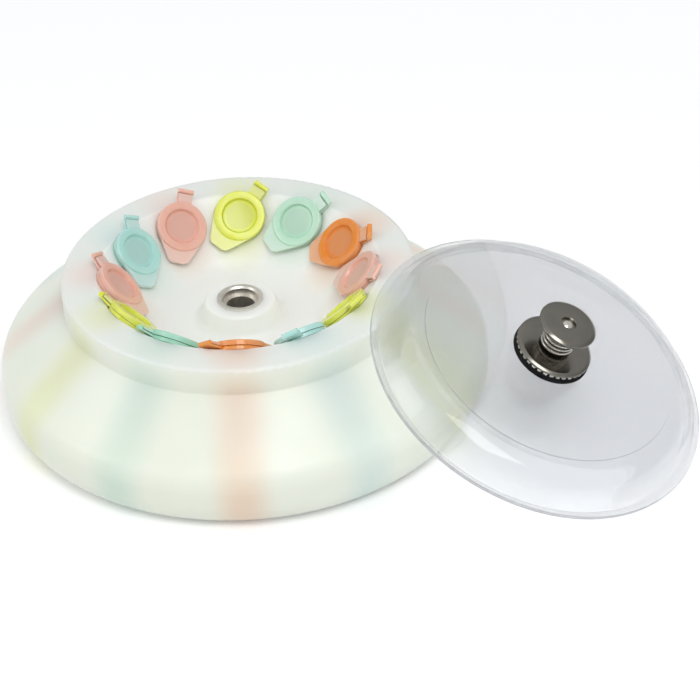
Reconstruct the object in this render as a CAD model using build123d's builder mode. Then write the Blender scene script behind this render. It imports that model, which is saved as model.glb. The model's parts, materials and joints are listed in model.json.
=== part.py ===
from build123d import *
from math import cos, radians, sin, sqrt, tan
import os

os.makedirs("parts", exist_ok=True)

# Twelve-place fixed-angle rotor with its sample tubes and the clear lid leaning against it.
# Millimetres, +Z up, the origin where the spin axis meets the bench, +X toward the lid.

# Rotor body, radii from the spin axis and heights above the bench
total_height = 34.0
crown_radius = 43.0
crown_depth = 6.7
crown_edge_round = 0.8
land_inner_radius = 34.3
base_radius = 59.6
shoulder_height = 13.5
shoulder_round = 6.0
foot_round = 6.5
bowl_floor_height = 20.0
bowl_round = 6.0
soft_edge = 0.5

# Raised boss in the middle of the bowl
boss_height = 5.2
boss_top_radius = 8.6
boss_foot_radius = 10.3
boss_foot_round = 2.5

# Hollow underside with its stiffening webs
foot_ring_inner_radius = 48.7
hollow_roof_height = 16.0
hub_foot_radius = 9.0
web_thickness = 2.0
web_bottom_height = 8.0
hollow_round = 1.5

# Steel hub bushing and its drive bore
bushing_radius = 5.0
bushing_lip_radius = 5.6
bushing_lip_height = 0.5
bushing_fit = 0.02
drive_bore_radius = 3.5
counterbore_radius = 4.3
counterbore_depth = 2.2
bore_chamfer = 0.4
drive_slot_width = 2.5
drive_slot_depth = 3.0

# Tube places, all at 45 degrees and pointing out and down
place_count = 12
place_radius = 30.0
spot_face_radius = 6.7
spot_face_depth = 0.1
seat_gap = 0.05
well_clearance = 0.25

# Sample tube, heights above the underside of its collar
collar_radius = 6.2
collar_height = 1.0
tube_radius = 5.35
tube_wall = 0.9
tube_straight = 18.5
tube_length = 36.1
tip_radius = 2.3
tip_round = 1.8
mouth_radius = 4.7
mouth_depth = 4.6
mouth_break = 0.15

# Tube cap with its hollow plug and thumb tab
cap_gap = 0.1
cap_radius = 6.4
cap_height = 1.3
cap_round = 0.35
cap_recess_radius = 4.1
cap_recess_depth = 0.8
cap_web = 0.9
plug_length = 3.4
plug_fit = 0.1
plug_wall = 1.0
plug_swing_gap = 0.05
tab_reach = 9.6
tab_root_width = 6.4
tab_end_width = 3.4
tab_thickness = 0.8
tab_round = 0.8

# Living hinge between tube and cap, folded level with the cap
hinge_reach = 9.4
hinge_width = 4.0
fold_radius = 0.6
leaf_thickness = 0.5
leaf_gap = 0.15

# How far each tube is turned about its own length, going round from +X
tube_turns = (-45, -44, -36, -38, -30, -38, -35, -50, -55, -52, -35, -25)

# Clear lid, radii from its own axis and heights above its rim
lid_rim_radius = 42.2
lid_rim_height = 1.2
lid_rim_step = 1.4
lid_height = 8.5
lid_shoulder_radius = 36.0
lid_shoulder_round = 8.0
lid_wall = 1.5
lid_rim_round = 0.35

# How the lid leans on the crown and the bench
lean_angle = 25.63
lean_heading = -30.3
lean_bearing = -22.1
lean_gap = 0.3

# Knob hardware stacked on the lid
gasket_radius = 9.5
gasket_height = 1.7
gasket_round = 0.6
washer_radius = 9.2
washer_height = 0.6
washer_tooth_count = 36
washer_tooth_depth = 0.5
washer_notch_width = 0.7
flange_radius = 9.35
flange_height = 0.9
flange_round = 0.6
barrel_radius = 3.05
barrel_fit = 0.1
thread_fit = 0.02
ring_nut_radius = 6.0
ring_nut_height = 1.8
ring_nut_slot = 1.2
ring_nut_slot_depth = 1.0

# Push button and ball lock
socket_radius = 1.8
sleeve_radius = 2.4
skirt_fit = 0.1
skirt_step = 0.4
skirt_radius = 3.2
skirt_grip_length = 2.2
ball_radius = 0.6
ball_fit = 0.05
ball_count = 3
press_travel = 2.6
press_gap = 0.1
button_radius = 7.05
button_height = 1.0
button_round = 0.4
button_rise = 7.1
button_recess_radius = 1.8
button_recess_depth = 0.6
rivet_head_radius = 1.3
rivet_head_height = 0.45
rivet_shank_radius = 0.8
rivet_tail_radius = 1.1
rivet_tail_height = 0.5

# Coil spring round the button skirt
spring_wire_radius = 0.42
spring_fit = 0.1
spring_turns = 4.75
spring_seat_gap = 0.04

# Positions that follow from the sizes above
boss_top_height = bowl_floor_height + boss_height
bowl_floor_radius = land_inner_radius - (total_height - bowl_floor_height)
roof_outer_radius = foot_ring_inner_radius - hollow_roof_height
web_outer_radius = foot_ring_inner_radius - web_bottom_height
hub_bore_radius = bushing_radius + bushing_fit
bushing_top = boss_top_height + bushing_lip_height
cone_height_at_place = total_height - (land_inner_radius - place_radius)
pitch_angle = 360 / place_count
cap_bottom = collar_height + cap_gap
cap_top = cap_bottom + cap_height
hinge_height = cap_bottom + cap_height / 2
bore_inner_radius = tube_radius - tube_wall


def place_plane(index):
    """Spot-face plane of one place, x along the hinge of its tube, z out of the well."""
    heading = radians(index * pitch_angle)
    outward = Vector(cos(heading), sin(heading), 0)
    sideways = Vector(-sin(heading), cos(heading), 0)
    uphill = (outward + Vector(0, 0, 1)).normalized()
    well_axis = (Vector(0, 0, 1) - outward).normalized()
    turn = radians(tube_turns[index % len(tube_turns)])
    hinge_way = uphill * cos(turn) + sideways * sin(turn)
    seat = outward * place_radius + Vector(0, 0, cone_height_at_place)
    return Plane(seat - well_axis * spot_face_depth, x_dir=hinge_way, z_dir=well_axis)


places = [place_plane(index) for index in range(place_count)]

# Room that one tube needs in the rotor, from the spot face down to the tip
well_radius = tube_radius + well_clearance
well_tip_radius = tip_radius + well_clearance
well_depth = tube_length + well_clearance
with BuildPart() as well:
    with BuildSketch(Plane.XZ):
        with BuildLine():
            FilletPolyline(
                (0, place_radius / 2),
                (spot_face_radius, place_radius / 2),
                (spot_face_radius, 0),
                (well_radius, 0),
                (well_radius, -tube_straight),
                (well_tip_radius, -well_depth),
                (0, -well_depth),
                radius=(0, 0, 0, 0, 0, tip_round, 0),
                close=True,
            )
        make_face()
    revolve(axis=Axis.Z)

# One stiffening web under the bowl
with BuildPart() as web:
    with BuildSketch(Plane.XZ):
        with BuildLine():
            Polyline(
                (hub_foot_radius - soft_edge, web_bottom_height),
                (web_outer_radius + soft_edge, web_bottom_height),
                (roof_outer_radius + soft_edge, hollow_roof_height + soft_edge),
                (hub_foot_radius - soft_edge, hollow_roof_height + soft_edge),
                close=True,
            )
        make_face()
    extrude(amount=web_thickness / 2, both=True)

# Rotor body
with BuildPart() as rotor_body:
    with BuildSketch(Plane.XZ):
        with BuildLine():
            FilletPolyline(
                (hub_bore_radius, 0),
                (hub_foot_radius, 0),
                (hub_foot_radius, hollow_roof_height),
                (roof_outer_radius, hollow_roof_height),
                (foot_ring_inner_radius, 0),
                (base_radius, 0),
                (base_radius, shoulder_height),
                (crown_radius, total_height - crown_depth),
                (crown_radius, total_height),
                (land_inner_radius, total_height),
                (bowl_floor_radius, bowl_floor_height),
                (boss_foot_radius, bowl_floor_height),
                (boss_top_radius, boss_top_height),
                (hub_bore_radius, boss_top_height),
                radius=(
                    0,
                    soft_edge,
                    hollow_round,
                    hollow_round,
                    soft_edge,
                    foot_round,
                    shoulder_round,
                    soft_edge,
                    crown_edge_round,
                    soft_edge,
                    bowl_round,
                    boss_foot_round,
                    crown_edge_round,
                    0,
                ),
                close=True,
            )
        make_face()
    revolve(axis=Axis.Z)
    with PolarLocations(0, place_count, start_angle=pitch_angle / 2):
        add(web.part)
    with Locations(*places):
        add(well.part, mode=Mode.SUBTRACT)
rotor_body.part.label = "rotor_body"
export_step(rotor_body.part, "parts/rotor_body.step")

# Hub bushing with the cross slot that the drive pin turns
with BuildPart() as hub_bushing:
    with BuildSketch(Plane.XZ):
        with BuildLine():
            Polyline(
                (drive_bore_radius, 0),
                (bushing_radius, 0),
                (bushing_radius, boss_top_height),
                (bushing_lip_radius, boss_top_height),
                (bushing_lip_radius, bushing_top),
                (counterbore_radius + bore_chamfer, bushing_top),
                (counterbore_radius, bushing_top - bore_chamfer),
                (counterbore_radius, bushing_top - counterbore_depth),
                (drive_bore_radius, bushing_top - counterbore_depth),
                close=True,
            )
        make_face()
    revolve(axis=Axis.Z)
    with BuildSketch(Plane.XY):
        Rectangle(2 * hub_foot_radius, drive_slot_width)
    extrude(amount=drive_slot_depth, mode=Mode.SUBTRACT)
hub_bushing.part.label = "hub_bushing"
export_step(hub_bushing.part, "parts/hub_bushing.step")

# Sample tube in its own frame, mouth up, with the lower hinge leaf and the fold
with BuildPart() as tube:
    with BuildSketch(Plane.XZ):
        with BuildLine():
            FilletPolyline(
                (0, -tube_length),
                (tip_radius, -tube_length),
                (tube_radius, -tube_straight),
                (tube_radius, 0),
                (collar_radius, 0),
                (collar_radius, collar_height),
                (mouth_radius, collar_height),
                (mouth_radius, collar_height - mouth_depth),
                (bore_inner_radius, collar_height - mouth_depth - mouth_break),
                (bore_inner_radius, -tube_straight),
                (tip_radius - tube_wall, tube_wall - tube_length),
                (0, tube_wall - tube_length),
                radius=(0, tip_round, 0, 0, mouth_break, mouth_break, mouth_break, 0, 0, 0, tube_wall, 0),
                close=True,
            )
        make_face()
    revolve(axis=Axis.Z)
    with BuildSketch(Plane.XZ):
        with Locations((hinge_reach, hinge_height)):
            Circle(fold_radius)
        with BuildLine():
            Polyline(
                (mouth_radius + mouth_break, collar_height),
                (collar_radius, collar_height),
                (hinge_reach, hinge_height - fold_radius / 2),
                (hinge_reach, hinge_height - fold_radius),
                (collar_radius, collar_height - leaf_thickness),
                (mouth_radius + mouth_break, collar_height - leaf_thickness),
                close=True,
            )
        make_face()
    extrude(amount=hinge_width / 2, both=True)

# Cap in the same frame; its plug narrows so that it swings free of the mouth
swing_radius = hinge_reach + mouth_radius - plug_swing_gap
plug_waist_drop = plug_length / 2
plug_end_drop = plug_length + hinge_height - cap_bottom
plug_waist_radius = sqrt(swing_radius**2 - (plug_end_drop - plug_waist_drop) ** 2) - hinge_reach
plug_end_radius = sqrt(swing_radius**2 - plug_end_drop**2) - hinge_reach
recess_floor = cap_top - cap_recess_depth
with BuildPart() as cap:
    with BuildSketch(Plane.XZ):
        with BuildLine():
            FilletPolyline(
                (0, recess_floor),
                (cap_recess_radius, recess_floor),
                (cap_recess_radius + cap_round, cap_top),
                (cap_radius, cap_top),
                (cap_radius, cap_bottom),
                (mouth_radius - plug_fit, cap_bottom),
                (plug_waist_radius, cap_bottom - plug_waist_drop),
                (plug_end_radius, cap_bottom - plug_length),
                (plug_waist_radius - plug_wall, cap_bottom - plug_length),
                (plug_waist_radius - plug_wall, recess_floor - cap_web),
                (0, recess_floor - cap_web),
                radius=(0, 0, mouth_break, cap_round, mouth_break, 0, 0, 0, 0, mouth_break, 0),
                close=True,
            )
        make_face()
    revolve(axis=Axis.Z)
    with BuildSketch(Plane.XY.offset(cap_top - cap_round - tab_thickness)) as tab_outline:
        with BuildLine():
            FilletPolyline(
                (-cap_recess_radius - cap_round, tab_root_width / 2),
                (-cap_radius, tab_root_width / 2),
                (-tab_reach, tab_end_width / 2),
                (-tab_reach, -tab_end_width / 2),
                (-cap_radius, -tab_root_width / 2),
                (-cap_recess_radius - cap_round, -tab_root_width / 2),
                radius=(0, tab_round, tab_round, tab_round, tab_round, 0),
                close=True,
            )
        make_face()
        Circle(cap_recess_radius + cap_round, mode=Mode.SUBTRACT)
    extrude(amount=tab_thickness)
    leaf_end = hinge_reach - fold_radius - leaf_gap
    with BuildSketch(Plane.XY.offset(hinge_height + leaf_gap / 2)):
        with Locations((cap_recess_radius + cap_round, 0)):
            Rectangle(leaf_end - cap_recess_radius - cap_round, hinge_width, align=(Align.MIN, Align.CENTER))
    extrude(amount=leaf_thickness)

# The twelve tubes and caps in their places, numbered round from +X
for index, plane in enumerate(places):
    number = f"{index + 1:02d}"
    seated = plane.offset(seat_gap)
    with BuildPart() as placed_tube:
        with Locations(seated):
            add(tube.part)
    placed_tube.part.label = "tube_" + number
    export_step(placed_tube.part, "parts/tube_" + number + ".step")
    with BuildPart() as placed_cap:
        with Locations(seated):
            add(cap.part)
    placed_cap.part.label = "cap_" + number
    export_step(placed_cap.part, "parts/cap_" + number + ".step")

# Lid axis: the rim stands on the bench at its low side and leans on the crown edge
lean = radians(lean_angle)
heading = radians(lean_heading)
bearing = radians(lean_bearing)
rim_centre_height = lid_rim_radius * sin(lean)
rim_run = (total_height - rim_centre_height) / sin(lean)
rim_half_chord = sqrt(max(lid_rim_radius**2 - rim_run**2, 0))
uphill_way = Vector(-cos(heading), -sin(heading), 0)
chord_way = Vector(sin(heading), -cos(heading), 0)
to_touch = uphill_way * (rim_run * cos(lean)) + chord_way * rim_half_chord
bearing_way = Vector(cos(bearing), sin(bearing), 0)
touch_along = to_touch.dot(bearing_way)
touch_reach = crown_radius + lean_gap
rim_distance = sqrt(touch_along**2 - to_touch.length**2 + touch_reach**2) - touch_along
rim_centre = bearing_way * rim_distance + Vector(0, 0, rim_centre_height)
lid_axis = Vector(cos(heading) * sin(lean), sin(heading) * sin(lean), cos(lean))
lid_plane = Plane(rim_centre, x_dir=Vector(-sin(heading), cos(heading), 0), z_dir=lid_axis)
lid_section = Plane(rim_centre, x_dir=lid_plane.x_dir, z_dir=-lid_plane.y_dir)
lid_spin = Axis(rim_centre, lid_axis)

# Clear lid shell
wall_foot_radius = lid_rim_radius - lid_rim_step
wall_slope = (wall_foot_radius - lid_shoulder_radius) / (lid_height - lid_rim_height)
wall_across = lid_wall * sqrt(1 + wall_slope**2)
plate_bottom = lid_height - lid_wall
inner_shoulder_radius = lid_shoulder_radius + wall_slope * lid_wall - wall_across
inner_rim_radius = wall_foot_radius + wall_slope * lid_rim_height - wall_across
lid_hole_radius = barrel_radius + barrel_fit
with BuildPart() as lid_shell:
    with BuildSketch(lid_section):
        with BuildLine():
            FilletPolyline(
                (lid_hole_radius, plate_bottom),
                (inner_shoulder_radius, plate_bottom),
                (inner_rim_radius, 0),
                (lid_rim_radius, 0),
                (lid_rim_radius, lid_rim_height),
                (wall_foot_radius, lid_rim_height),
                (lid_shoulder_radius, lid_height),
                (lid_hole_radius, lid_height),
                radius=(
                    0,
                    lid_shoulder_round - lid_wall,
                    lid_rim_round,
                    lid_rim_round,
                    lid_rim_round,
                    lid_rim_round,
                    lid_shoulder_round,
                    0,
                ),
                close=True,
            )
        make_face()
    revolve(axis=lid_spin)
lid_shell.part.label = "lid_shell"
export_step(lid_shell.part, "parts/lid_shell.step")

# Rubber gasket between the lid and the knob hardware
gasket_top = lid_height + gasket_height
with BuildPart() as lid_gasket:
    with BuildSketch(lid_section):
        with BuildLine():
            FilletPolyline(
                (lid_hole_radius, lid_height),
                (gasket_radius, lid_height),
                (gasket_radius, gasket_top),
                (lid_hole_radius, gasket_top),
                radius=(0, gasket_round, gasket_round, 0),
                close=True,
            )
        make_face()
    revolve(axis=lid_spin)
lid_gasket.part.label = "lid_gasket"
export_step(lid_gasket.part, "parts/lid_gasket.step")

# Toothed lock washer
washer_top = gasket_top + washer_height
with BuildPart() as tooth_washer:
    with BuildSketch(lid_plane.offset(gasket_top)):
        Circle(washer_radius)
        Circle(lid_hole_radius, mode=Mode.SUBTRACT)
        with PolarLocations(washer_radius, washer_tooth_count):
            Rectangle(2 * washer_tooth_depth, washer_notch_width, mode=Mode.SUBTRACT)
    extrude(amount=washer_height)
tooth_washer.part.label = "tooth_washer"
export_step(tooth_washer.part, "parts/tooth_washer.step")

# Lock sleeve: threaded barrel below, wide flange, ball tube above
flange_top = washer_top + flange_height
button_bottom = flange_top + button_rise
sleeve_top = button_bottom - press_travel - press_gap
ball_hole_radius = ball_radius + ball_fit
ball_height = sleeve_top - ball_hole_radius - soft_edge
barrel_bottom = plate_bottom - ring_nut_height
ball_planes = [
    Plane(lid_plane.from_local_coords(Vector(0, 0, ball_height)), z_dir=lid_plane.x_dir.rotate(lid_spin, step))
    for step in (turn * 360 / ball_count for turn in range(ball_count))
]
with BuildPart() as lock_sleeve:
    with BuildSketch(lid_section):
        with BuildLine():
            FilletPolyline(
                (socket_radius, barrel_bottom),
                (barrel_radius, barrel_bottom),
                (barrel_radius, washer_top),
                (flange_radius, washer_top),
                (flange_radius, flange_top),
                (sleeve_radius, flange_top),
                (sleeve_radius, sleeve_top),
                (socket_radius, sleeve_top),
                radius=(0, 0, 0, 0, flange_round, 0, 0, 0),
                close=True,
            )
        make_face()
    revolve(axis=lid_spin)
    for plane in ball_planes:
        with BuildSketch(plane):
            Circle(ball_hole_radius)
        extrude(amount=skirt_radius, mode=Mode.SUBTRACT)
lock_sleeve.part.label = "lock_sleeve"
export_step(lock_sleeve.part, "parts/lock_sleeve.step")

# Three lock balls held inward by the button skirt
grip_radius = sleeve_radius + skirt_fit
with BuildPart() as lock_balls:
    with Locations(*[plane.offset(grip_radius - ball_radius - ball_fit) for plane in ball_planes]):
        Sphere(ball_radius)
lock_balls.part.label = "lock_balls"
export_step(lock_balls.part, "parts/lock_balls.step")

# Slotted ring nut under the lid plate
with BuildPart() as ring_nut:
    with BuildSketch(lid_plane.offset(barrel_bottom)):
        Circle(ring_nut_radius)
        Circle(barrel_radius + thread_fit, mode=Mode.SUBTRACT)
        with PolarLocations(ring_nut_radius, 2):
            Rectangle(2 * ring_nut_slot_depth, ring_nut_slot, mode=Mode.SUBTRACT)
    extrude(amount=ring_nut_height)
ring_nut.part.label = "ring_nut"
export_step(ring_nut.part, "parts/ring_nut.step")

# Push button with the skirt that holds the balls in and frees them when pressed
skirt_bottom = flange_top + press_travel + press_gap
skirt_inner_radius = grip_radius + skirt_step
grip_top = skirt_bottom + skirt_grip_length
button_top = button_bottom + button_height
recess_bottom = button_top - button_recess_depth
with BuildPart() as lid_button:
    with BuildSketch(lid_section):
        with BuildLine():
            FilletPolyline(
                (rivet_shank_radius, button_bottom),
                (skirt_inner_radius, button_bottom),
                (skirt_inner_radius, grip_top),
                (grip_radius, grip_top - skirt_step),
                (grip_radius, skirt_bottom),
                (skirt_radius, skirt_bottom),
                (skirt_radius, button_bottom),
                (button_radius, button_bottom),
                (button_radius, button_top),
                (button_recess_radius, button_top),
                (button_recess_radius, recess_bottom),
                (rivet_shank_radius, recess_bottom),
                radius=(0, 0, 0, 0, 0, 0, 0, bore_chamfer / 2, button_round, bore_chamfer / 2, 0, 0),
                close=True,
            )
        make_face()
    revolve(axis=lid_spin)
lid_button.part.label = "lid_button"
export_step(lid_button.part, "parts/lid_button.step")

# Domed rivet in the middle of the button
shank_radius = rivet_shank_radius - bushing_fit
with BuildPart() as button_rivet:
    with BuildSketch(lid_section):
        with BuildLine():
            ThreePointArc(
                (0, recess_bottom + rivet_head_height),
                (rivet_head_radius * sin(radians(45)), recess_bottom + rivet_head_height * cos(radians(30))),
                (rivet_head_radius, recess_bottom + rivet_head_height / 3),
            )
            Polyline(
                (rivet_head_radius, recess_bottom + rivet_head_height / 3),
                (rivet_head_radius, recess_bottom),
                (shank_radius, recess_bottom),
                (shank_radius, button_bottom),
                (rivet_tail_radius, button_bottom),
                (rivet_tail_radius, button_bottom - rivet_tail_height),
                (0, button_bottom - rivet_tail_height),
                (0, recess_bottom + rivet_head_height),
            )
        make_face()
    revolve(axis=lid_spin)
button_rivet.part.label = "button_rivet"
export_step(button_rivet.part, "parts/button_rivet.step")

# Coil spring between the flange and the button
spring_radius = skirt_radius + spring_fit + spring_wire_radius
spring_rise = button_rise - 2 * (spring_wire_radius + spring_seat_gap)
spring_start = flange_top + spring_wire_radius + spring_seat_gap
with BuildPart() as coil:
    with BuildLine() as coil_line:
        Helix(pitch=spring_rise / spring_turns, height=spring_rise, radius=spring_radius)
    with BuildSketch(Plane(coil_line.line @ 0, z_dir=coil_line.line % 0)):
        Circle(spring_wire_radius)
    sweep(is_frenet=True)
with BuildPart() as button_spring:
    with Locations(lid_plane.offset(spring_start)):
        add(coil.part)
button_spring.part.label = "button_spring"
export_step(button_spring.part, "parts/button_spring.step")
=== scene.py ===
import json
from math import acos, cos, degrees, pi, radians, sin, sqrt, tan

import bpy
from mathutils import Matrix, Vector


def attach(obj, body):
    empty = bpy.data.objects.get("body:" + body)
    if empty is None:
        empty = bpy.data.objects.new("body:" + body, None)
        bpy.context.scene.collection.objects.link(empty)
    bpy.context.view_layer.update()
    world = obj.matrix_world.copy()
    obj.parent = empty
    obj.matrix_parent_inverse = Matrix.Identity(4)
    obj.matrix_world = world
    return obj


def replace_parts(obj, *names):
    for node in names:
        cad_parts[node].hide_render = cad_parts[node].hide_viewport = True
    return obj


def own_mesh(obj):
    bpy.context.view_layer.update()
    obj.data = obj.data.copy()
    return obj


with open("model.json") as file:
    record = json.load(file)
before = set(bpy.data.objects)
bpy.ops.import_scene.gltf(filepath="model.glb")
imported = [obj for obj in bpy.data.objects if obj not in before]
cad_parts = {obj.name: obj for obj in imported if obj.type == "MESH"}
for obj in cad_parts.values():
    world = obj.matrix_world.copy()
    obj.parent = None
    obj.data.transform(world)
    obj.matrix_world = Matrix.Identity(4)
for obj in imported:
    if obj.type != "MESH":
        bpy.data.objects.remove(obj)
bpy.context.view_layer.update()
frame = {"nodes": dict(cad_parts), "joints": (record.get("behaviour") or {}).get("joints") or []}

MM = 0.001
UP = Vector((0, 0, 1))
nodes = frame["nodes"]
joints = {joint["name"]: joint for joint in frame["joints"]}

# The lid leans on the crown and the bench: the centre of its rim, and its axis
rim_centre = Vector((70.0307, -28.4365, 18.2539)) * MM
lid_axis = -Vector(joints["button_press"]["axis"]).normalized()
lid_side = UP.cross(lid_axis).normalized()
lid_turn = Matrix((lid_side, lid_axis.cross(lid_side), lid_axis)).transposed()
lid_place = Matrix.Translation(rim_centre) @ lid_turn.to_4x4()

# Twelve tubes stand round the bowl, counted from +X, each with its own tint
TUBE_COUNT = 12
TUBE_STEP = 2 * pi / TUBE_COUNT
SEAT_RADIUS, SEAT_HEIGHT = 30.0 * MM, 29.7 * MM
WELL_LINE = 59.75 * MM  # radius plus height, the same all along the middle of a 45 degree well
TUBE_TINTS = (
    "pink", "orange", "aqua", "lime", "pink", "blue",
    "pink", "lime", "teal", "orange", "blue", "lime",
)
TINTS = {
    "pink": (0.95, 0.50, 0.40),
    "orange": (0.94, 0.30, 0.035),
    "aqua": (0.54, 0.84, 0.65),
    "lime": (0.80, 0.86, 0.065),
    "blue": (0.48, 0.82, 0.76),
    "teal": (0.37, 0.74, 0.55),
}
# The tubes' tints in the rotor's milk are painted glow, standing in for light carried through the wall.
PAINTED_GLOW = 0.44  # how strongly a tube's tint shows where the milky wall over it is thinnest


def well_of(index):
    """The middle of a cap on its seat, and the way out of its well."""
    heading = index * TUBE_STEP
    outward = Vector((cos(heading), sin(heading), 0))
    return outward * SEAT_RADIUS + UP * SEAT_HEIGHT, (UP - outward).normalized()


# Helpers for building materials
def finish(name):
    material = bpy.data.materials.new(name)
    material.use_nodes = True
    tree = material.node_tree
    return material, tree, tree.nodes["Principled BSDF"]


def calc(tree, kind, first, second=None):
    node = tree.nodes.new("ShaderNodeMath")
    node.operation = kind
    for socket, value in zip(node.inputs, (first, second)):
        if value is None:
            continue
        if isinstance(value, (int, float)):
            socket.default_value = value
        else:
            tree.links.new(value, socket)
    return node.outputs[0]


def own_place(tree):
    return tree.nodes.new("ShaderNodeTexCoord").outputs["Object"]


def cloud(tree, scale, detail=2.0):
    """Soft noise fixed to the piece."""
    noise = tree.nodes.new("ShaderNodeTexNoise")
    noise.inputs["Scale"].default_value = scale
    noise.inputs["Detail"].default_value = detail
    tree.links.new(own_place(tree), noise.inputs["Vector"])
    return noise.outputs[0]


def spread(tree, value, low, high, low_to, high_to, smooth=False):
    """Maps the stretch from low to high onto the stretch from low_to to high_to."""
    ranger = tree.nodes.new("ShaderNodeMapRange")
    if smooth:
        ranger.interpolation_type = "SMOOTHSTEP"
    tree.links.new(value, ranger.inputs["Value"])
    for key, number in (("From Min", low), ("From Max", high), ("To Min", low_to), ("To Max", high_to)):
        ranger.inputs[key].default_value = number
    return ranger.outputs[0]


def blend_colour(tree, share, first, second):
    mixer = tree.nodes.new("ShaderNodeMix")
    mixer.data_type = "RGBA"
    for key, value in ((0, share), (6, first), (7, second)):
        if isinstance(value, tuple):
            mixer.inputs[key].default_value = (*value, 1.0)
        else:
            tree.links.new(value, mixer.inputs[key])
    return mixer.outputs[2]


def vector_step(tree, kind, value, constant=None):
    node = tree.nodes.new("ShaderNodeVectorMath")
    node.operation = kind
    tree.links.new(value, node.inputs[0])
    if constant is not None:
        node.inputs[1].default_value = constant
    return node


def reach_from(tree, point, way):
    """Distance from the line through a point, for shading round it."""
    offset = vector_step(tree, "SUBTRACT", own_place(tree), point).outputs[0]
    across = vector_step(tree, "CROSS_PRODUCT", offset, way).outputs[0]
    return vector_step(tree, "LENGTH", across).outputs["Value"]


def ripple(tree, shader, height, strength, distance):
    bump = tree.nodes.new("ShaderNodeBump")
    bump.inputs["Strength"].default_value = strength
    bump.inputs["Distance"].default_value = distance
    tree.links.new(height, bump.inputs["Height"])
    tree.links.new(bump.outputs[0], shader.inputs["Normal"])


def let_through(tree, shader, tint, share):
    """Mixes plain see-through into a finished material, by a number or by a node's output."""
    see = tree.nodes.new("ShaderNodeBsdfTransparent")
    see.inputs[0].default_value = (*tint, 1.0)
    mixer = tree.nodes.new("ShaderNodeMixShader")
    if isinstance(share, float):
        mixer.inputs[0].default_value = share
    else:
        tree.links.new(share, mixer.inputs[0])
    tree.links.new(shader.outputs[0], mixer.inputs[1])
    tree.links.new(see.outputs[0], mixer.inputs[2])
    tree.links.new(mixer.outputs[0], tree.nodes["Material Output"].inputs["Surface"])


# Milky plastic of the rotor
MILK_DEEP, MILK_LIGHT = (0.85, 0.89, 0.77), (0.88, 0.92, 0.81)
# The bowl's whiter colour is painted light, against the shade in the hollow of the bowl.
LAND_GREY, BOWL_PAINTED_LIGHT = (0.80, 0.83, 0.80), (0.93, 0.96, 0.90)
LAND_HEIGHT, BOWL_RADIUS, BOWL_FLOOR = 34.0 * MM, 35.5 * MM, 19.0 * MM


def tube_ramp(tree, place):
    """The tint of the tube that lies nearest, from its place round the rotor."""
    ramp = tree.nodes.new("ShaderNodeValToRGB")
    ramp.color_ramp.interpolation = "CONSTANT"
    stops = ramp.color_ramp.elements
    for index, tint in enumerate(TUBE_TINTS):
        stop = stops[index] if index < 2 else stops.new(index / TUBE_COUNT)
        stop.position = index / TUBE_COUNT
        brightest = max(TINTS[tint])
        stop.color = (*(0.75 * part + 0.25 * brightest for part in TINTS[tint]), 1.0)
    turn = calc(tree, "MODULO", calc(tree, "ADD", place, TUBE_COUNT + 0.5), float(TUBE_COUNT))
    tree.links.new(calc(tree, "DIVIDE", turn, float(TUBE_COUNT)), ramp.inputs[0])
    return ramp.outputs[0]


def painted_tube_glow(tree, x, y, z, radius):
    """How much painted glow of a tube shows through the wall, and the tint of that painted glow."""
    turn = calc(tree, "MULTIPLY", calc(tree, "ARCTAN2", y, x), 1 / TUBE_STEP)
    place = calc(tree, "ROUND", turn)
    away = calc(tree, "MULTIPLY", calc(tree, "SUBTRACT", turn, place), TUBE_STEP)
    sideways = calc(tree, "MULTIPLY", radius, calc(tree, "SINE", away))
    inward = calc(tree, "MULTIPLY", radius, calc(tree, "COSINE", away))
    above = calc(tree, "SUBTRACT", calc(tree, "ADD", inward, z), WELL_LINE)
    above = calc(tree, "MULTIPLY", above, sqrt(0.5))
    beside = spread(tree, calc(tree, "ABSOLUTE", sideways), 0.5 * MM, 9.5 * MM, 1.0, 0.0, smooth=True)
    deep = spread(tree, calc(tree, "ABSOLUTE", above), 5 * MM, 17 * MM, PAINTED_GLOW, 0.0, smooth=True)
    return calc(tree, "MULTIPLY", beside, deep), tube_ramp(tree, place)


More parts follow.
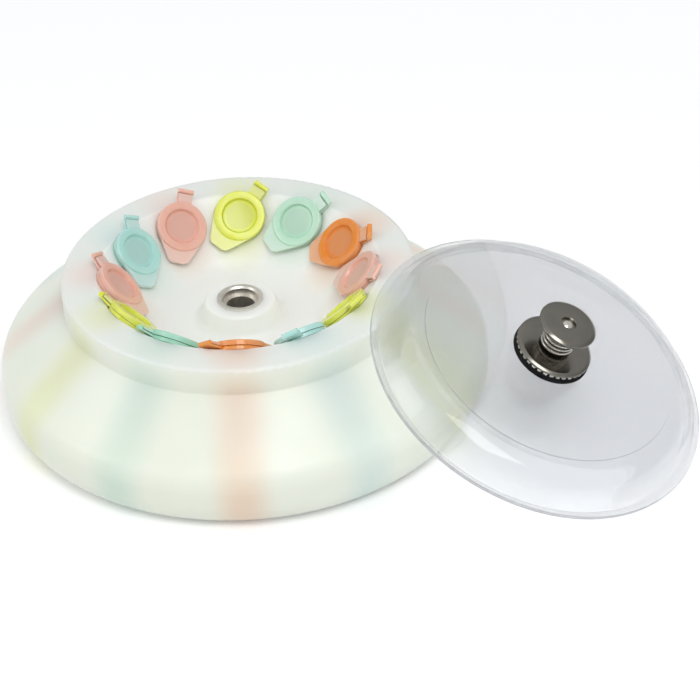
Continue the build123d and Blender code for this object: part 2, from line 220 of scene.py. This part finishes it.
def milky_plastic():
    """White translucent moulding with a painted glow of the tubes' tints, standing in for light carried
    through the wall, and a bowl painted whiter as painted light.
    """
    material, tree, shader = finish("milky_plastic")
    split = tree.nodes.new("ShaderNodeSeparateXYZ")
    tree.links.new(own_place(tree), split.inputs[0])
    x, y, z = split.outputs
    squares = calc(tree, "ADD", calc(tree, "MULTIPLY", x, x), calc(tree, "MULTIPLY", y, y))
    radius = calc(tree, "SQRT", squares)
    # Painted glow: the nearest tube's tint is painted into the milk where the wall over it is thin.
    painted_glow, tint = painted_tube_glow(tree, x, y, z, radius)
    milk = blend_colour(tree, spread(tree, cloud(tree, 45.0), 0.35, 0.65, 0.0, 1.0), MILK_DEEP, MILK_LIGHT)
    land = spread(tree, z, LAND_HEIGHT - 1.2 * MM, LAND_HEIGHT, 0.0, 0.8, smooth=True)
    milk = blend_colour(tree, land, milk, LAND_GREY)
    # Painted light: inside the bowl and above its floor the milk is painted whiter.
    inside = spread(tree, radius, BOWL_RADIUS - 2 * MM, BOWL_RADIUS, 1.0, 0.0, smooth=True)
    over_floor = spread(tree, z, BOWL_FLOOR, BOWL_FLOOR + 0.8 * MM, 0.0, 1.0)
    milk = blend_colour(tree, calc(tree, "MULTIPLY", inside, over_floor), milk, BOWL_PAINTED_LIGHT)
    tree.links.new(blend_colour(tree, painted_glow, milk, tint), shader.inputs["Base Color"])
    tree.links.new(spread(tree, cloud(tree, 160.0), 0.3, 0.7, 0.30, 0.42), shader.inputs["Roughness"])
    ripple(tree, shader, cloud(tree, 260.0, 3.0), 0.12, 0.2 * MM)
    shader.inputs["Subsurface Weight"].default_value = 0.5
    shader.inputs["Subsurface Radius"].default_value = (1.0, 1.0, 0.9)
    shader.inputs["Subsurface Scale"].default_value = 8 * MM
    shader.inputs["IOR"].default_value = 1.45
    return material


# Tinted plastic of the tubes and caps
def paler(colour):
    return tuple(part + (1 - part) * 0.34 for part in colour)


def tinted_moulding(name, tint):
    """Coloured plastic with soft paler clouds; its tone is still to be joined to the shader."""
    material, tree, shader = finish(name)
    colour = TINTS[tint]
    tone = blend_colour(tree, spread(tree, cloud(tree, 260.0), 0.35, 0.65, 0.0, 0.25), colour, paler(colour))
    tree.links.new(spread(tree, cloud(tree, 420.0), 0.3, 0.7, 0.12, 0.24), shader.inputs["Roughness"])
    shader.inputs["Transmission Weight"].default_value = 0.03
    shader.inputs["Coat Weight"].default_value = 0.25
    shader.inputs["Coat Roughness"].default_value = 0.08
    shader.inputs["IOR"].default_value = 1.45
    shader.inputs["Subsurface Weight"].default_value = 0.45
    shader.inputs["Subsurface Radius"].default_value = (1.0, 1.0, 1.0)
    shader.inputs["Subsurface Scale"].default_value = 2 * MM
    return material, tree, shader, tone


def tube_plastic(tint):
    material, tree, shader, tone = tinted_moulding(f"{tint}_tube", tint)
    tree.links.new(tone, shader.inputs["Base Color"])
    return material


def cap_plastic(tint, index):
    """Painted see-through shading: a ring of painted shade over the plug's wall, a painted duller middle
    over the recess, and a tab painted paler as light through its thin plastic.
    """
    material, tree, shader, tone = tinted_moulding(f"{tint}_cap_{index + 1:02d}", tint)
    colour = TINTS[tint]
    # The middle's duller tone and the deeper ring colour are painted see-through shading, the ring a painted
    # shade.
    painted_middle_tone = tuple(0.76 * part + 0.10 for part in colour)
    deep = tuple(0.95 * part**1.25 for part in colour)
    reach = reach_from(tree, *well_of(index))
    middle = spread(tree, reach, 3.2 * MM, 3.7 * MM, 0.8, 0.0, smooth=True)
    ring_start = spread(tree, reach, 3.3 * MM, 3.8 * MM, 0.0, 1.0, smooth=True)
    ring_end = spread(tree, reach, 4.5 * MM, 5.1 * MM, 0.3, 0.0, smooth=True)
    tab = spread(tree, reach, 6.2 * MM, 6.9 * MM, 0.0, 0.75, smooth=True)
    tone = blend_colour(tree, middle, tone, painted_middle_tone)
    tone = blend_colour(tree, calc(tree, "MULTIPLY", ring_start, ring_end), tone, deep)
    tone = blend_colour(tree, tab, tone, paler(colour))
    tree.links.new(tone, shader.inputs["Base Color"])
    let_through(tree, shader, paler(colour), 0.05)
    return material


# Clear plastic, metals and rubber of the lid and its knob
def clear_acrylic():
    """Clear polished lid; its plate's grey is partly a smoke tint and partly painted shade of the bench
    below, and its rim is painted paler against dark lines in the thick flange; lamps shine through it.
    """
    material, tree, shader = finish("clear_acrylic")
    reach = reach_from(tree, rim_centre, lid_axis)
    # Painted light and shade: the rim is painted paler, and the plate's grey holds painted shade.
    rim = spread(tree, reach, 36.5 * MM, 40 * MM, 0.0, 1.0, smooth=True)
    tone = blend_colour(tree, rim, (0.74, 0.752, 0.772), (0.95, 0.955, 0.962))
    tree.links.new(tone, shader.inputs["Base Color"])
    tree.links.new(spread(tree, cloud(tree, 120.0), 0.45, 0.75, 0.0, 0.035), shader.inputs["Roughness"])
    shader.inputs["Transmission Weight"].default_value = 1.0
    shader.inputs["IOR"].default_value = 1.49
    path = tree.nodes.new("ShaderNodeLightPath")
    share = calc(tree, "MAXIMUM", path.outputs["Is Shadow Ray"], 0.4)
    let_through(tree, shader, (0.91, 0.916, 0.926), share)
    return material


def bright_metal(name, colour, low, high, grain=90.0):
    """Metal with a faint grain; its roughness wanders between low and high."""
    material, tree, shader = finish(name)
    shade = tuple(part * 0.86 for part in colour)
    patches = spread(tree, cloud(tree, grain * 4), 0.35, 0.65, 0.0, 1.0)
    tree.links.new(blend_colour(tree, patches, colour, shade), shader.inputs["Base Color"])
    tree.links.new(spread(tree, cloud(tree, grain * 9), 0.3, 0.7, low, high), shader.inputs["Roughness"])
    shader.inputs["Metallic"].default_value = 1.0
    ripple(tree, shader, cloud(tree, grain * 20), 0.05, 0.05 * MM)
    return material


def black_rubber():
    material, tree, shader = finish("black_rubber")
    tone = blend_colour(tree, cloud(tree, 900.0), (0.004, 0.004, 0.005), (0.01, 0.01, 0.011))
    tree.links.new(tone, shader.inputs["Base Color"])
    shader.inputs["Specular IOR Level"].default_value = 0.12
    tree.links.new(spread(tree, cloud(tree, 1500.0), 0.3, 0.7, 0.55, 0.75), shader.inputs["Roughness"])
    ripple(tree, shader, cloud(tree, 2500.0, 3.0), 0.2, 0.05 * MM)
    return material


# Turned pieces: a ring is extruded along the outline and scaled step by step
def rounded(corners):
    """Outline points from (radius, height, rounding) corners, with each rounding as a short arc."""
    points = []
    count = len(corners)
    for index, (x, y, size) in enumerate(corners):
        here = Vector((x, y))
        if size == 0:
            points.append(here)
            continue
        before = (Vector(corners[index - 1][:2]) - here).normalized()
        after = (Vector(corners[(index + 1) % count][:2]) - here).normalized()
        half = acos(max(-1, min(1, before.dot(after)))) / 2
        reach = size / tan(half)
        middle = here + (before + after).normalized() * (size / sin(half))
        start, end = here + before * reach - middle, here + after * reach - middle
        sweep = pi - 2 * half
        steps = max(3, round(degrees(sweep) / 9))
        for step in range(steps + 1):
            share = step / steps
            blend = (start * sin((1 - share) * sweep) + end * sin(share * sweep)) / sin(sweep)
            points.append(middle + blend)
    return points


def deselect():
    if bpy.context.object and bpy.context.object.mode != "OBJECT":
        bpy.ops.object.mode_set(mode="OBJECT")
    bpy.ops.object.select_all(action="DESELECT")


def turned(outline, sides, place, closed=True):
    """A turned piece from its outline in millimetres, closed on itself or with its ends drawn to poles."""
    deselect()
    first = outline[0]
    bpy.ops.mesh.primitive_circle_add(vertices=sides, radius=first.x * MM, location=(0, 0, 0))
    bpy.ops.object.mode_set(mode="EDIT")
    bpy.ops.mesh.select_all(action="SELECT")
    bpy.ops.transform.translate(value=(0, 0, first.y * MM))
    last = first
    for point in outline[1:] + ([first] if closed else []):
        bpy.ops.mesh.extrude_edges_move()
        bpy.ops.transform.translate(value=(0, 0, (point.y - last.y) * MM))
        grow = point.x / last.x
        bpy.ops.transform.resize(value=(grow, grow, 1), center_override=(0, 0, 0))
        last = point
    bpy.ops.mesh.select_all(action="SELECT")
    bpy.ops.mesh.remove_doubles(threshold=1e-6 if closed else 1e-5)
    bpy.ops.mesh.normals_make_consistent(inside=False)
    bpy.ops.object.mode_set(mode="OBJECT")
    bpy.context.object.matrix_world = place


def settle(name, body, material, smooth):
    """Names the new piece, puts its place into its mesh, smooths it and hangs it on its body."""
    piece = bpy.context.object
    piece.name = name
    piece.data.name = name
    bpy.ops.object.transform_apply(location=True, rotation=True, scale=True)
    bpy.ops.object.shade_smooth_by_angle(angle=radians(smooth))
    piece.data.materials.clear()
    piece.data.materials.append(material)
    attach(piece, body)
    return piece


# Lid shell: a flat plate, a rounded shoulder, a sloping wall and a rim flange, with a fine step on its plate
PLATE_BOTTOM, PLATE_TOP, PLATE_HOLE = 7.0, 8.5, 3.15
RIM_RADIUS, RIM_TOP, RIM_EDGE = 42.2, 1.2, 0.35
WALL_FOOT, WALL_HEAD = 40.8, 36.0  # outer radius of the wall on the rim and at the plate's top
STEP_RADIUS, STEP_DEPTH = 31.45, 0.22
WALL_SLOPE = (WALL_FOOT - WALL_HEAD) / (PLATE_TOP - RIM_TOP)
WALL_ACROSS = (PLATE_TOP - PLATE_BOTTOM) * sqrt(1 + WALL_SLOPE**2)
LID_OUTLINE = (
    (PLATE_HOLE, PLATE_BOTTOM, 0),
    (WALL_HEAD + WALL_SLOPE * (PLATE_TOP - PLATE_BOTTOM) - WALL_ACROSS, PLATE_BOTTOM, 6.5),
    (WALL_FOOT + WALL_SLOPE * RIM_TOP - WALL_ACROSS, 0, RIM_EDGE),
    (RIM_RADIUS, 0, RIM_EDGE),
    (RIM_RADIUS, RIM_TOP, RIM_EDGE),
    (WALL_FOOT, RIM_TOP, RIM_EDGE),
    (WALL_HEAD + 0.05, PLATE_TOP - STEP_DEPTH, 8.0),
    (STEP_RADIUS + 0.15, PLATE_TOP - STEP_DEPTH, 0),
    (STEP_RADIUS, PLATE_TOP, 0),
    (PLATE_HOLE, PLATE_TOP, 0),
)


def make_lid():
    turned(rounded(LID_OUTLINE), 160, lid_place)
    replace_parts(settle("lid_dome", "lid", clear_acrylic(), 50), "lid_shell")


# Knob: heights along the lid's axis, from its rim plane
FLANGE_RADIUS, FLANGE_BOTTOM, FLANGE_TOP = 9.35, 10.8, 11.7
SLEEVE_BORE, SLEEVE_RADIUS, SLEEVE_TOP = 1.8, 2.4, 16.1
BARREL_RADIUS, BARREL_END = 3.05, 5.2
FLANGE_OUTLINE = (
    (SLEEVE_BORE, BARREL_END, 0),
    (BARREL_RADIUS, BARREL_END, 0.2),
    (BARREL_RADIUS, FLANGE_BOTTOM, 0),
    (FLANGE_RADIUS, FLANGE_BOTTOM, 0.15),
    (FLANGE_RADIUS, FLANGE_TOP - 0.5, 0.25),
    (FLANGE_RADIUS - 0.75, FLANGE_TOP - 0.06, 0.8),
    (6.5, FLANGE_TOP, 2.0),
    (SLEEVE_RADIUS, FLANGE_TOP, 0),
    (SLEEVE_RADIUS, SLEEVE_TOP, 0.15),
    (SLEEVE_BORE, SLEEVE_TOP, 0),
)
BUTTON_RADIUS, BUTTON_BOTTOM, BUTTON_TOP = 7.05, 18.45, 19.8
SKIRT_INSIDE, SKIRT_OUTSIDE, SKIRT_END, SKIRT_ROOF = 2.5, 3.2, 14.4, 18.8
RIVET_HOLE, RIVET_SEAT, RIVET_RADIUS = 0.82, 19.2, 1.75
GROOVE_RADIUS, GROOVE_LOW, GROOVE_HIGH = 6.75, 18.78, 18.88
BUTTON_OUTLINE = (
    (RIVET_HOLE, RIVET_SEAT, 0),
    (RIVET_HOLE, SKIRT_ROOF, 0),
    (SKIRT_INSIDE, SKIRT_ROOF, 0),
    (SKIRT_INSIDE, SKIRT_END, 0.1),
    (SKIRT_OUTSIDE, SKIRT_END, 0.1),
    (SKIRT_OUTSIDE, BUTTON_BOTTOM, 0),
    (BUTTON_RADIUS - 0.1, BUTTON_BOTTOM, 0.2),
    (BUTTON_RADIUS - 0.1, GROOVE_LOW - 0.06, 0.08),
    (GROOVE_RADIUS, GROOVE_LOW, 0.05),
    (GROOVE_RADIUS, GROOVE_HIGH, 0.05),
    (BUTTON_RADIUS, GROOVE_HIGH + 0.06, 0.1),
    (BUTTON_RADIUS, BUTTON_TOP - 0.58, 0.2),
    (BUTTON_RADIUS - 0.85, BUTTON_TOP - 0.1, 0.9),
    (4.2, BUTTON_TOP, 2.0),
    (RIVET_RADIUS + 0.15, BUTTON_TOP, 0.1),
    (RIVET_RADIUS, RIVET_SEAT, 0),
)


def make_knob():
    # The nickel's dark colour is a painted dark reflection of the surroundings, not the metal's own tone.
    nickel = bright_metal("nickel_painted_dark_reflection", (0.26, 0.245, 0.215), 0.15, 0.23, 30.0)
    turned(rounded(FLANGE_OUTLINE), 96, lid_place)
    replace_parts(settle("knob_flange", "lid", nickel, 40), "lock_sleeve")
    turned(rounded(BUTTON_OUTLINE), 96, lid_place)
    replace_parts(settle("knob_button", "button", nickel, 40), "lid_button")


# Spring: round wire wound between the flange and the button
WIRE_RADIUS, COIL_RADIUS, COIL_TURNS, WIRE_GAP = 0.42, 3.72, 4.75, 0.04


def make_spring():
    deselect()
    room = BUTTON_BOTTOM - FLANGE_TOP
    low = WIRE_RADIUS + WIRE_GAP
    bpy.ops.mesh.primitive_circle_add(
        vertices=14, radius=WIRE_RADIUS * MM, rotation=(pi / 2, 0, 0), location=(COIL_RADIUS * MM, 0, 0)
    )
    bpy.ops.object.transform_apply(location=True, rotation=True, scale=True)
    winding = bpy.context.object.modifiers.new("winding", "SCREW")
    winding.angle = 2 * pi * COIL_TURNS
    winding.screw_offset = (room - 2 * low) * MM
    winding.steps = winding.render_steps = 170
    winding.use_merge_vertices = True
    bpy.ops.object.modifier_apply(modifier="winding")
    bpy.ops.object.mode_set(mode="EDIT")
    bpy.ops.mesh.select_all(action="SELECT")
    bpy.ops.mesh.fill_holes(sides=20)
    bpy.ops.mesh.select_all(action="SELECT")
    bpy.ops.mesh.normals_make_consistent(inside=False)
    bpy.ops.object.mode_set(mode="OBJECT")
    bpy.context.object.matrix_world = lid_place @ Matrix.Translation((0, 0, (FLANGE_TOP + low) * MM))
    wire = bright_metal("spring_wire", (0.62, 0.59, 0.54), 0.18, 0.30)
    piece = settle("knob_spring", "lid", wire, 35)
    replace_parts(piece, "button_spring")
    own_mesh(piece)


# Snap caps: heights from the middle of the cap's seat
POLE = 0.004  # where an outline starts and ends, so that its ends merge on the axis
CAP_RADIUS, CAP_TOP, CAP_BOTTOM = 6.4, 2.4, 1.1
RECESS_RADIUS, RECESS_FLOOR = 4.15, 1.7
TAB_BOTTOM, TAB_TOP = 1.25, 2.05
PLUG_RADIUS, PLUG_INSIDE, PLUG_END, PLUG_ROOF = 4.6, 3.4, -2.3, 0.8
CAP_OUTLINE = (
    (POLE, RECESS_FLOOR, 0),
    (RECESS_RADIUS, RECESS_FLOOR, 0.3),
    (RECESS_RADIUS + 0.35, CAP_TOP, 0.12),
    (CAP_RADIUS, CAP_TOP, 0.33),
    (CAP_RADIUS, TAB_TOP, 0),
    (CAP_RADIUS, TAB_BOTTOM, 0),
    (CAP_RADIUS, CAP_BOTTOM, 0.1),
    (PLUG_RADIUS, CAP_BOTTOM, 0),
    (PLUG_RADIUS - 0.05, -0.6, 0),
    (PLUG_RADIUS - 0.5, PLUG_END, 0.1),
    (PLUG_INSIDE, PLUG_END, 0.1),
    (PLUG_INSIDE, PLUG_ROOF, 0.2),
    (POLE, PLUG_ROOF, 0),
)
# The thumb tab narrows in three steps: how far out, and half its width there
TAB_HALF_ANGLE, TAB_ROOT = 63.5, 5.73
TAB_STEPS = ((8.4, 2.98), (9.3, 2.3), (9.6, 1.5))
STRAP_HALF_ANGLE, STRAP_HALF_WIDTH, STRAP_END, STRAP_THINNING = 15.9, 1.75, 8.6, 0.62
HINGE_REACH, HINGE_HEIGHT = 9.4, 1.75


def pick_band(low, high, way, half_angle):
    """Selects the faces of the cap's side wall between two heights, within an angle of +X or -X."""
    bpy.ops.mesh.select_all(action="DESELECT")
    bpy.ops.object.mode_set(mode="OBJECT")
    limit = cos(radians(half_angle))
    for face in bpy.context.object.data.polygons:
        middle = face.center
        flat = Vector((middle.x, middle.y, 0))
        outside = flat.length > (CAP_RADIUS - 0.1) * MM and low * MM < middle.z < high * MM
        face.select = outside and way * middle.x / flat.length > limit
    bpy.ops.object.mode_set(mode="EDIT")


def pull(to_x, half_width, width_now):
    """Extrudes the picked faces and flattens them to one straight end at to_x."""
    bpy.ops.mesh.extrude_region_move()
    bpy.ops.transform.resize(value=(0, half_width / width_now, 1), center_override=(to_x * MM, 0, 0))


def model_cap():
    """One cap about the Z axis, its thumb tab towards -X and its hinge strap towards +X."""
    turned(rounded(CAP_OUTLINE), 68, Matrix(), closed=False)
    bpy.ops.object.mode_set(mode="EDIT")
    bpy.ops.mesh.select_mode(type="FACE")
    pick_band(TAB_BOTTOM, TAB_TOP, -1, TAB_HALF_ANGLE)
    width = TAB_ROOT
    for reach, half_width in TAB_STEPS:
        pull(-reach, half_width, width)
        width = half_width
    pick_band(TAB_BOTTOM, TAB_TOP, 1, STRAP_HALF_ANGLE)
    pull(STRAP_END, STRAP_HALF_WIDTH, STRAP_HALF_WIDTH)
    bpy.ops.transform.resize(value=(1, 1, STRAP_THINNING), center_override=(0, 0, 2.3 * MM))
    bpy.ops.mesh.select_all(action="SELECT")
    bpy.ops.mesh.normals_make_consistent(inside=False)
    bpy.ops.mesh.select_mode(type="VERT")
    bpy.ops.object.mode_set(mode="OBJECT")
    return bpy.context.object


def make_caps():
    pattern = model_cap()
    for index, tint in enumerate(TUBE_TINTS):
        number = f"{index + 1:02d}"
        hinge = joints[f"cap_{number}_open"]
        across, out = Vector(hinge["axis"]).normalized(), well_of(index)[1]
        along = across.cross(out)
        middle = Vector(hinge["pos_m"]) - along * HINGE_REACH * MM - out * HINGE_HEIGHT * MM
        turn = Matrix((along, across, out)).transposed()
        deselect()
        copy = pattern.copy()
        copy.data = pattern.data.copy()
        bpy.context.scene.collection.objects.link(copy)
        copy.matrix_world = Matrix.Translation(middle) @ turn.to_4x4()
        copy.select_set(True)
        bpy.context.view_layer.objects.active = copy
        piece = settle(f"snap_cap_{number}", f"cap_{number}", cap_plastic(tint, index), 40)
        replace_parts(piece, f"cap_{number}")
    bpy.data.objects.remove(pattern)


# Finishes of the CAD solids that stay
def dress(name, material):
    for slot in nodes[name].material_slots:
        slot.material = material


def dress_solids():
    dress("rotor_body", milky_plastic())
    dress("hub_bushing", bright_metal("turned_steel", (0.84, 0.81, 0.75), 0.34, 0.46))
    tubes = {tint: tube_plastic(tint) for tint in TINTS}
    for index, tint in enumerate(TUBE_TINTS):
        dress(f"tube_{index + 1:02d}", tubes[tint])
    dress("lid_gasket", black_rubber())
    dress("tooth_washer", bright_metal("washer_plate", (0.66, 0.64, 0.58), 0.22, 0.36))
    dress("lock_balls", bright_metal("ball_steel", (0.70, 0.70, 0.70), 0.06, 0.12))
    dress("ring_nut", bright_metal("nut_plate", (0.60, 0.58, 0.54), 0.20, 0.32))
    dress("button_rivet", bright_metal("rivet_steel", (0.78, 0.75, 0.68), 0.08, 0.16))


# Bench, light and camera
BENCH_SIZE, BENCH_LIFT = 6.0, 0.17  # the lift whitens the bench for the eye, not for the object
SKY_LOW, SKY_HIGH = 0.34, 0.74
LAMP_AIM = Vector((0.02, 0, 0.02))
LAMPS = (
    ("front", (0.25, -0.62, 1.14), 0.66, 6.3),
    ("left", (-1.02, -0.25, 0.72), 0.56, 2.0),
)


def make_bench():
    deselect()
    bpy.ops.mesh.primitive_plane_add(size=BENCH_SIZE, location=(0, 0, 0))
    bench = bpy.context.object
    bench.name = "bench"
    material, tree, shader = finish("pale_bench")
    shader.inputs["Base Color"].default_value = (0.92, 0.92, 0.925, 1.0)
    shader.inputs["Roughness"].default_value = 0.7
    shader.inputs["Emission Color"].default_value = (1.0, 1.0, 1.0, 1.0)
    path = tree.nodes.new("ShaderNodeLightPath").outputs
    seen = calc(tree, "MAXIMUM", path["Is Glossy Ray"], path["Is Transmission Ray"])
    seen = calc(tree, "MAXIMUM", path["Is Camera Ray"], seen)
    tree.links.new(calc(tree, "MULTIPLY", seen, BENCH_LIFT), shader.inputs["Emission Strength"])
    bench.data.materials.append(material)


def make_light():
    """A pale sky, brighter overhead, a large soft lamp in front and a weaker one at the left."""
    world = bpy.data.worlds.new("studio")
    bpy.context.scene.world = world
    world.use_nodes = True
    tree = world.node_tree
    backdrop = tree.nodes["Background"]
    backdrop.inputs[0].default_value = (0.98, 0.99, 1.0, 1.0)
    split = tree.nodes.new("ShaderNodeSeparateXYZ")
    tree.links.new(tree.nodes.new("ShaderNodeTexCoord").outputs["Generated"], split.inputs[0])
    tree.links.new(spread(tree, split.outputs[2], 0.0, 1.0, SKY_LOW, SKY_HIGH), backdrop.inputs[1])
    for name, spot, size, power in LAMPS:
        lamp = bpy.data.lights.new(name, "AREA")
        lamp.size = size
        lamp.energy = power
        holder = bpy.data.objects.new(name, lamp)
        holder.location = spot
        holder.rotation_mode = "QUATERNION"
        holder.rotation_quaternion = (LAMP_AIM - Vector(spot)).to_track_quat("-Z", "Y")
        bpy.context.scene.collection.objects.link(holder)


def make_camera():
    """The photograph's viewpoint: 35 degrees above the bench, a long lens, slightly rolled."""
    down, roll = radians(34.91), radians(-2.59)
    level, climb = Vector((1, 0, 0)), Vector((0, sin(down), cos(down)))
    forward = Vector((0, cos(down), -sin(down)))
    right = level * cos(roll) + climb * sin(roll)
    above = climb * cos(roll) - level * sin(roll)
    turn = Matrix((right, above, -forward)).transposed()
    lens = bpy.data.cameras.new("camera")
    lens.lens = 144.0
    lens.sensor_width = 36.0
    camera = bpy.data.objects.new("camera", lens)
    camera.matrix_world = Matrix.Translation(Vector((26.24, -569.02, 405.49)) * MM) @ turn.to_4x4()
    bpy.context.scene.collection.objects.link(camera)
    bpy.context.scene.camera = camera


dress_solids()
make_caps()
make_lid()
make_knob()
make_spring()
make_bench()
make_light()
make_camera()
bpy.context.scene.view_settings.view_transform = "Standard"
